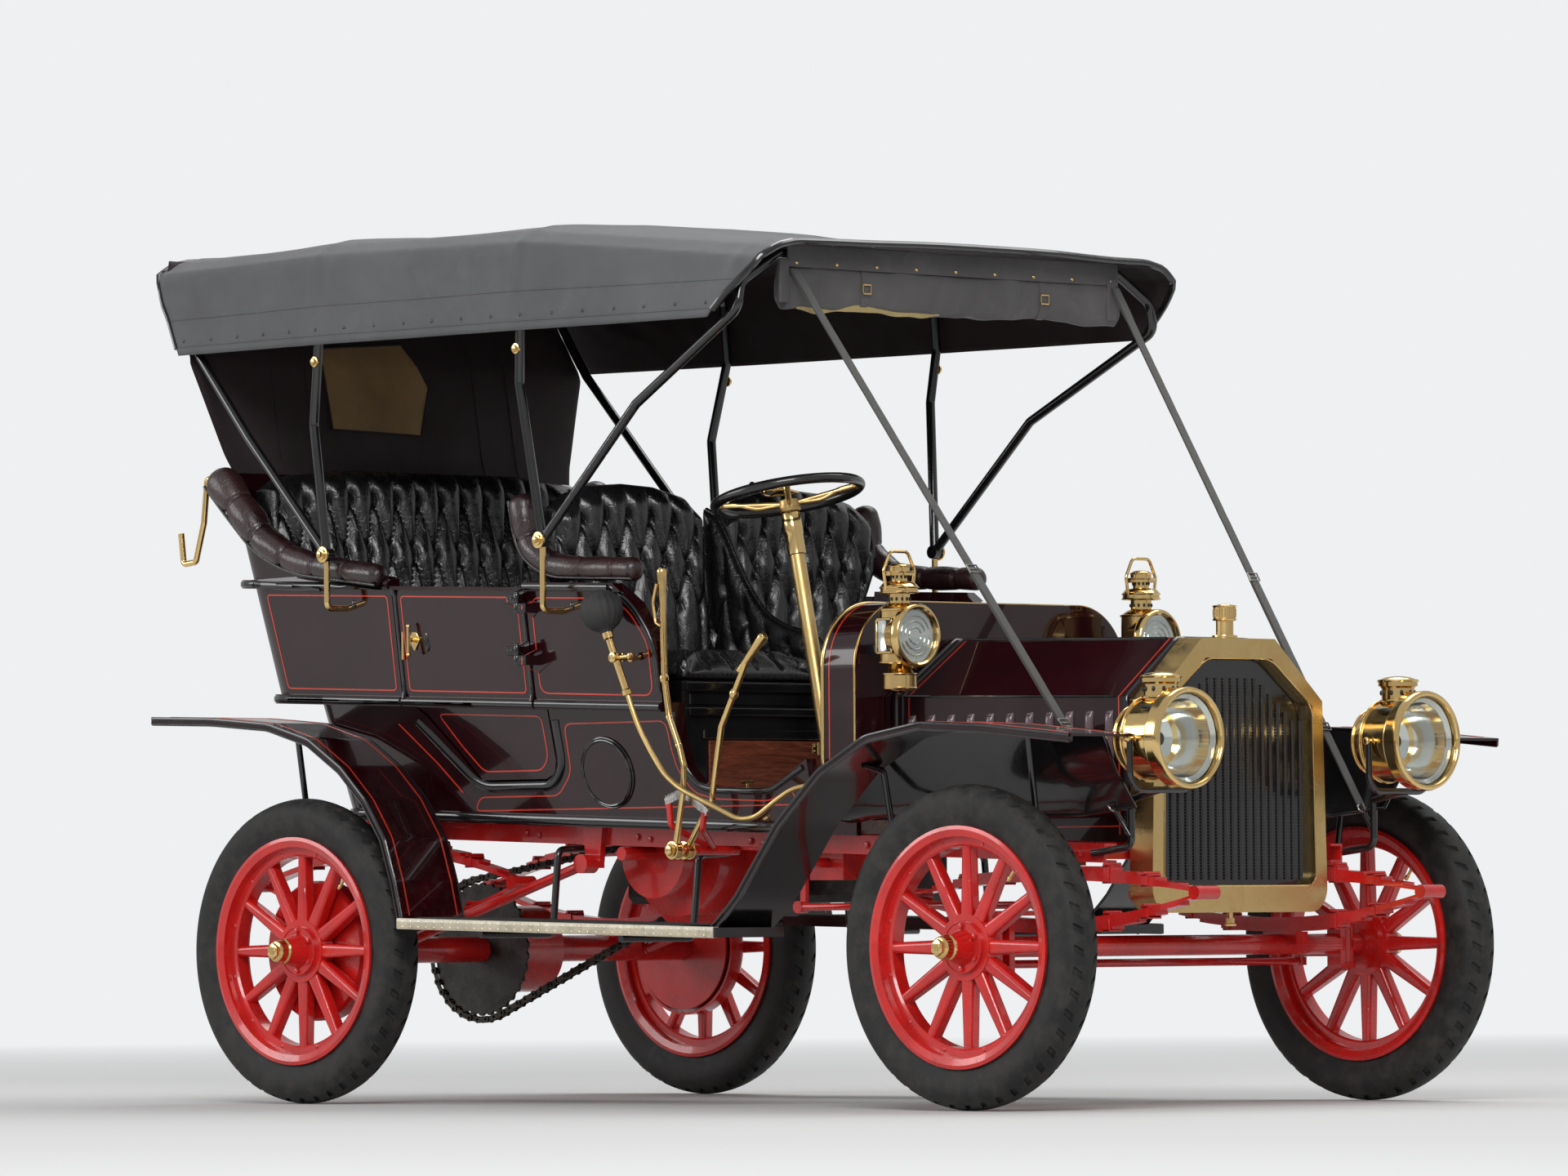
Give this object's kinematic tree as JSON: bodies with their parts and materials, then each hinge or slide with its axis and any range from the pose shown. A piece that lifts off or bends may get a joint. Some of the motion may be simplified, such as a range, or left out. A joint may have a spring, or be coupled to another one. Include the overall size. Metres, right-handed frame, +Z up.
{
  "type": "brass era touring car",
  "caption": "Early open touring car with a folding cloth top, front engine hood over a brass radiator, wooden spoked wheels, full elliptic springs and a single driving chain.",
  "frame": {"origin": "middle of the plan, on the ground under the tyres", "axes": "+X towards the front of the car, +Y towards its left side, +Z up"},
  "size_m": [3.4269, 1.654, 2.2117],
  "materials": {
    "body_paint": "gloss",
    "fender_paint": "gloss",
    "frame_paint": "gloss",
    "brass": "polished",
    "machinery": "rough",
    "black_iron": "gloss",
    "leather": "soft",
    "roll_leather": "soft",
    "top_cloth": "satin",
    "strap_cloth": "matt",
    "wood": "satin",
    "lamp_glass": "clear",
    "tyre": "matt"
  },
  "bodies": {
    "chassis": {"arm_rolls": "roll_leather", "body_lower": "body_paint", "chain": "machinery", "control_stands": "frame_paint", "cowl": "body_paint", "engine_block": "machinery", "fenders": "fender_paint", "floor_boards": "wood", "flywheel_and_drums": "machinery", "frame": "frame_paint", "front_axle": "frame_paint", "front_curtain": "top_cloth", "front_quarters": "body_paint", "hand_levers": "brass", "headlamps": "brass", "hood": "body_paint", "horn": "brass", "irons": "frame_paint", "lamp_glasses": "lamp_glass", "lamp_irons": "frame_paint", "radiator_core": "black_iron", "radiator_shell": "brass", "radius_rods": "frame_paint", "rear_axle": "frame_paint", "rear_curtain": "top_cloth", "running_boards": "black_iron", "seat_backs": "leather", "seat_boxes": "black_iron", "seat_cushions": "leather", "side_lamps": "brass", "springs": "frame_paint", "sprockets": "machinery", "steering_column": "brass", "tonneau_shell": "body_paint", "top_bows": "black_iron", "top_cover": "top_cloth", "top_fittings": "black_iron", "top_straps": "strap_cloth"},
    "door_left": {"door_left": "body_paint"},
    "door_right": {"door_right": "body_paint"},
    "knuckle_left": {"knuckle_left": "frame_paint"},
    "knuckle_right": {"knuckle_right": "frame_paint"},
    "tie_rod": {"tie_rod": "frame_paint"},
    "drag_link": {"drag_link": "frame_paint"},
    "pitman_arm": {"pitman_arm": "frame_paint"},
    "steering_wheel": {"steering_wheel": "brass"},
    "wheel_front_left": {"wheel_front_left": "frame_paint", "tyre_front_left": "tyre"},
    "wheel_front_right": {"wheel_front_right": "frame_paint", "tyre_front_right": "tyre"},
    "wheel_rear_left": {"wheel_rear_left": "frame_paint", "tyre_rear_left": "tyre"},
    "wheel_rear_right": {"wheel_rear_right": "frame_paint", "tyre_rear_right": "tyre"}
  },
  "joints": [
    {"name": "door_left_hinge", "type": "hinge", "parent": "chassis", "child": "door_left", "pos_m": [-0.3775, 0.665, 1.05], "axis": [0, 0, -1], "range_deg": [0, 75]},
    {"name": "door_right_hinge", "type": "hinge", "parent": "chassis", "child": "door_right", "pos_m": [-0.3775, -0.665, 1.05], "axis": [0, 0, 1], "range_deg": [0, 75]},
    {"name": "steer_right", "type": "hinge", "parent": "chassis", "child": "knuckle_right", "pos_m": [1.2245, -0.628, 0.3875], "axis": [0, 0, 1], "range_deg": [-22, 22]},
    {"name": "steer_left", "type": "hinge", "parent": "chassis", "child": "knuckle_left", "pos_m": [1.2245, 0.628, 0.3875], "axis": [0, 0, 1], "range_deg": [-22, 22]},
    {"name": "tie_rod_swing", "type": "hinge", "parent": "knuckle_right", "child": "tie_rod", "pos_m": [1.0745, -0.628, 0.3635], "axis": [0, 0, 1], "range_deg": [-22, 22]},
    {"name": "drag_link_swing", "type": "hinge", "parent": "knuckle_right", "child": "drag_link", "pos_m": [1.2245, -0.478, 0.4875], "axis": [0, 0, 1], "range_deg": [-22, 22]},
    {"name": "drop_arm_swing", "type": "hinge", "parent": "chassis", "child": "pitman_arm", "pos_m": [0.4245, -0.462, 0.5955], "axis": [0, 1, 0], "range_deg": [-32, 32]},
    {"name": "steering_wheel_turn", "type": "hinge", "parent": "chassis", "child": "steering_wheel", "pos_m": [0.2245, -0.3, 1.466], "axis": [-0.2095, 0, 0.9778], "range_deg": [-132, 132]},
    {"name": "spin_front_left", "type": "hinge", "parent": "knuckle_left", "child": "wheel_front_left", "pos_m": [1.2245, 0.711, 0.3875], "axis": [0, 1, 0], "continuous": true},
    {"name": "spin_front_right", "type": "hinge", "parent": "knuckle_right", "child": "wheel_front_right", "pos_m": [1.2245, -0.711, 0.3875], "axis": [0, 1, 0], "continuous": true},
    {"name": "spin_rear_left", "type": "hinge", "parent": "chassis", "child": "wheel_rear_left", "pos_m": [-1.1125, 0.711, 0.3875], "axis": [0, 1, 0], "continuous": true},
    {"name": "spin_rear_right", "type": "hinge", "parent": "chassis", "child": "wheel_rear_right", "pos_m": [-1.1125, -0.711, 0.3875], "axis": [0, 1, 0], "continuous": true}
  ],
  "couplings": [
    {"joint": "steer_left", "follows": "steer_right", "ratio": 1},
    {"joint": "tie_rod_swing", "follows": "steer_right", "ratio": -1},
    {"joint": "drag_link_swing", "follows": "steer_right", "ratio": -1},
    {"joint": "drop_arm_swing", "follows": "steer_right", "ratio": 1.42},
    {"joint": "steering_wheel_turn", "follows": "steer_right", "ratio": 6}
  ]
}
